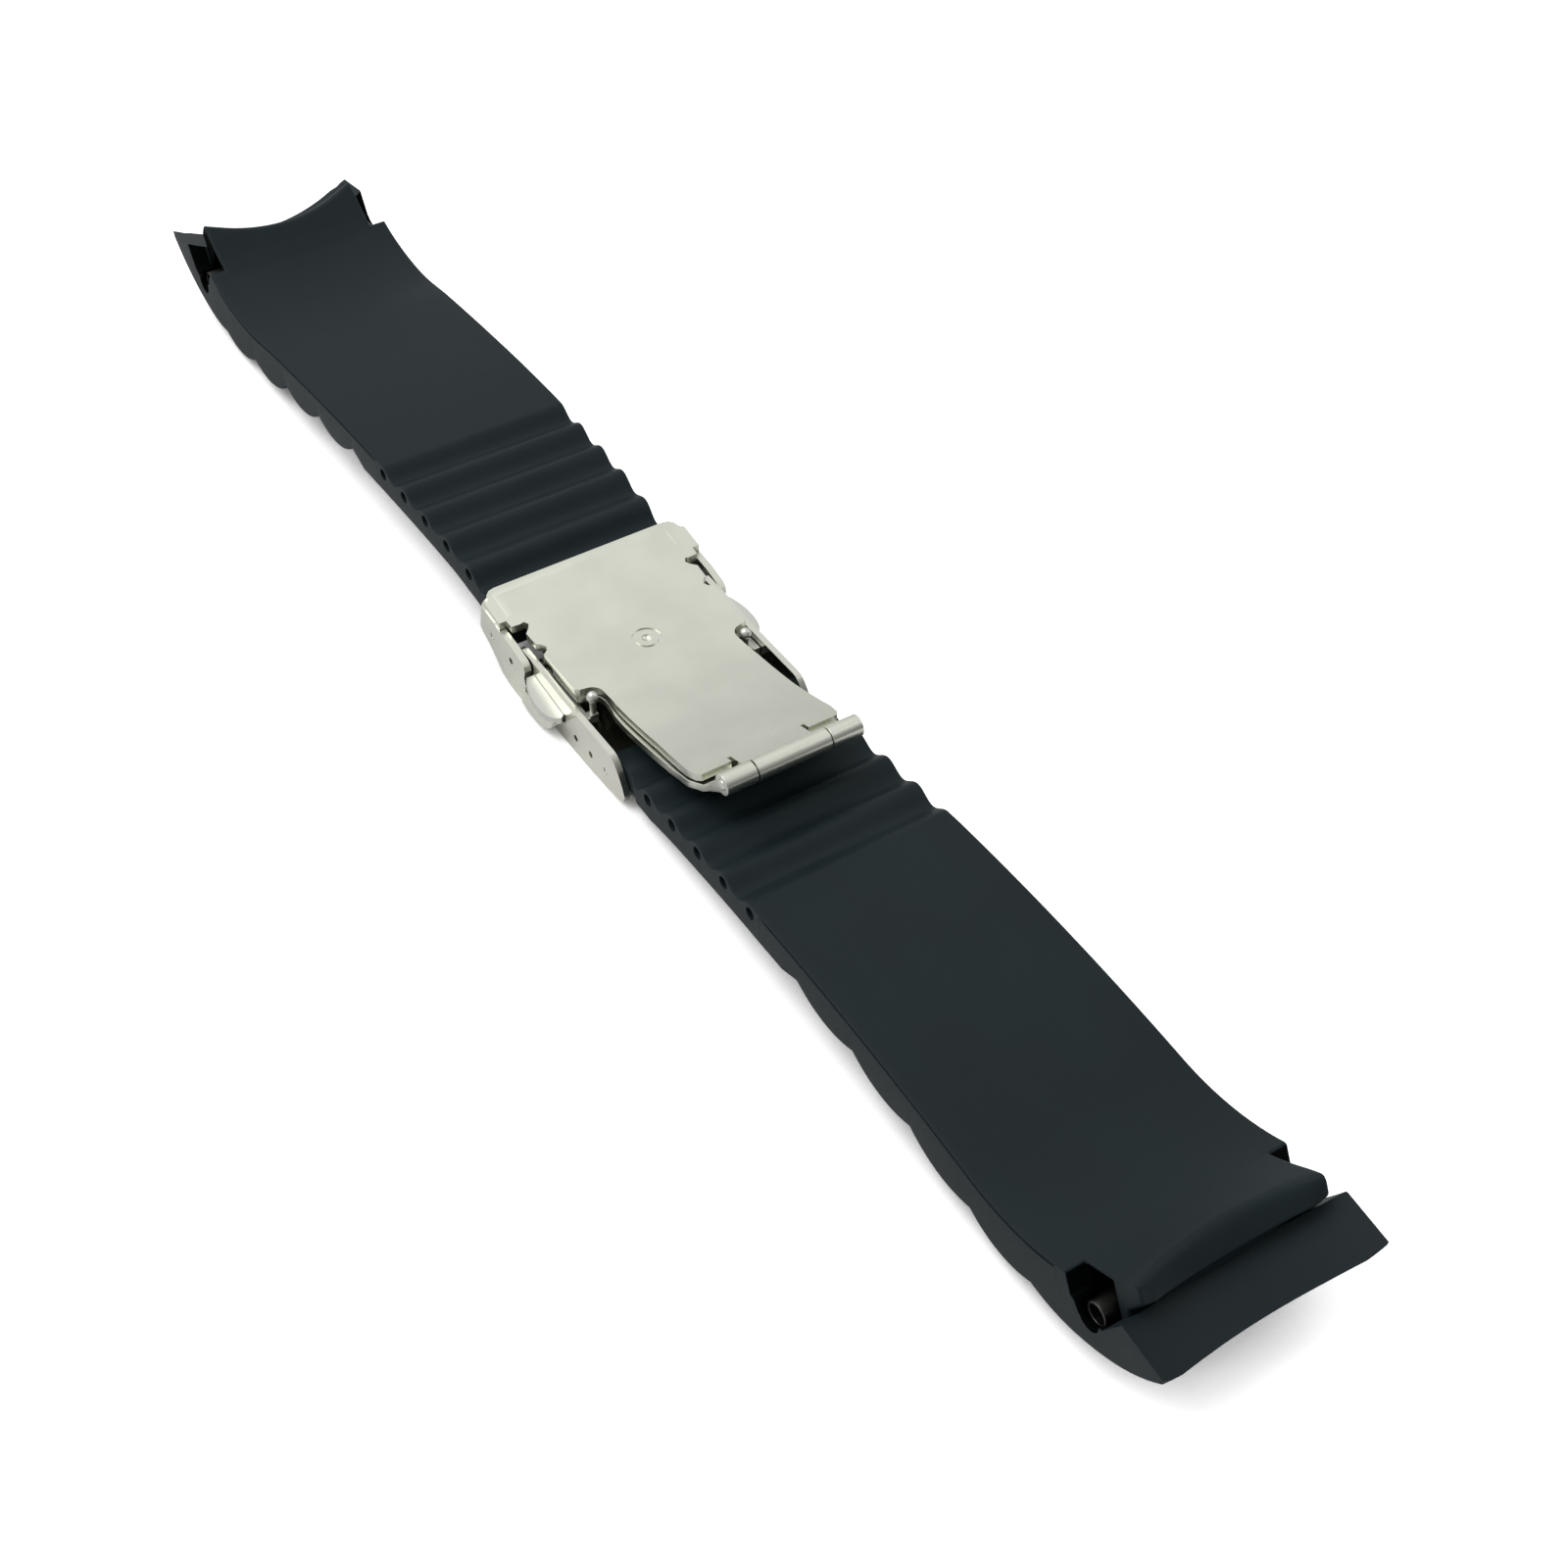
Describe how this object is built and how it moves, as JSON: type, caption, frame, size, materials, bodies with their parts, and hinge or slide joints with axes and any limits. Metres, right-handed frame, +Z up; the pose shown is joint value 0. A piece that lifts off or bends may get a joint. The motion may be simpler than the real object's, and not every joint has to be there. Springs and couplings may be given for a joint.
{
  "type": "watch strap",
  "caption": "Silicone watch strap laid face down: two ribbed and scalloped halves joined by a steel push-button folding clasp, with sprung bars and sleeved lug bores.",
  "frame": {"origin": "on the ground under the middle of the bounding box, which is close to the clasp's middle", "axes": "+X along the strap towards the near half, +Y across it, +Z up, from the clasp cover's outer face to the wrist side"},
  "size_m": [0.1972, 0.0268, 0.0138],
  "materials": {
    "silicone": "satin",
    "steel": "satin",
    "spring_steel": "satin"
  },
  "bodies": {
    "cover_body": {"cover": "steel", "cover_hinge_pin": "steel", "spring_seat": "steel", "button_spring_left": "spring_steel", "button_spring_right": "spring_steel"},
    "middle_body": {"middle_blade": "steel", "blade_hinge_pin": "steel"},
    "inner_body": {"inner_blade": "steel"},
    "far_strap": {"strap_far": "silicone", "lug_sleeve_far": "steel", "bar_tube_far": "steel", "bar_spring_far": "spring_steel"},
    "near_strap": {"strap_near": "silicone", "lug_sleeve_near": "steel", "bar_tube_near": "steel", "bar_spring_near": "spring_steel"},
    "left_button": {"push_button_left": "steel"},
    "right_button": {"push_button_right": "steel"},
    "far_tip_left": {"bar_tip_far_left": "steel"},
    "far_tip_right": {"bar_tip_far_right": "steel"},
    "near_tip_left": {"bar_tip_near_left": "steel"},
    "near_tip_right": {"bar_tip_near_right": "steel"}
  },
  "joints": [
    {"name": "cover_hinge", "type": "hinge", "parent": "cover_body", "child": "middle_body", "pos_m": [-0.0078, 0, 0.0025], "axis": [0, -1, 0], "range_deg": [0, 100]},
    {"name": "blade_hinge", "type": "hinge", "parent": "middle_body", "child": "inner_body", "pos_m": [0.0266, 0, 0.01266], "axis": [0, 1, 0], "range_deg": [0, 165]},
    {"name": "far_strap_pivot", "type": "hinge", "parent": "inner_body", "child": "far_strap", "pos_m": [-0.0124, 0, 0.00465], "axis": [0, -1, 0], "range_deg": [-6, 60]},
    {"name": "near_strap_pivot", "type": "hinge", "parent": "cover_body", "child": "near_strap", "pos_m": [0.01, 0, 0.0026], "axis": [0, 1, 0], "range_deg": [-2, 3]},
    {"name": "left_button_press", "type": "slide", "parent": "cover_body", "child": "left_button", "axis": [0, 1, 0], "range_m": [0, 0.0005], "stiffness_N_per_m": 100, "springref_m": -0.005, "deforming": ["button_spring_left"]},
    {"name": "right_button_press", "type": "slide", "parent": "cover_body", "child": "right_button", "axis": [0, -1, 0], "range_m": [0, 0.0005], "stiffness_N_per_m": 100, "springref_m": -0.005, "deforming": ["button_spring_right"]},
    {"name": "far_tip_left_slide", "type": "slide", "parent": "far_strap", "child": "far_tip_left", "axis": [0, 1, 0], "range_m": [0, 0.0009], "stiffness_N_per_m": 5, "springref_m": -0.02, "deforming": ["bar_spring_far"]},
    {"name": "far_tip_right_slide", "type": "slide", "parent": "far_strap", "child": "far_tip_right", "axis": [0, -1, 0], "range_m": [0, 0.0009], "stiffness_N_per_m": 5, "springref_m": -0.02, "deforming": ["bar_spring_far"]},
    {"name": "near_tip_left_slide", "type": "slide", "parent": "near_strap", "child": "near_tip_left", "axis": [0, 1, 0], "range_m": [0, 0.0009], "stiffness_N_per_m": 5, "springref_m": -0.02, "deforming": ["bar_spring_near"]},
    {"name": "near_tip_right_slide", "type": "slide", "parent": "near_strap", "child": "near_tip_right", "axis": [0, -1, 0], "range_m": [0, 0.0009], "stiffness_N_per_m": 5, "springref_m": -0.02, "deforming": ["bar_spring_near"]}
  ]
}
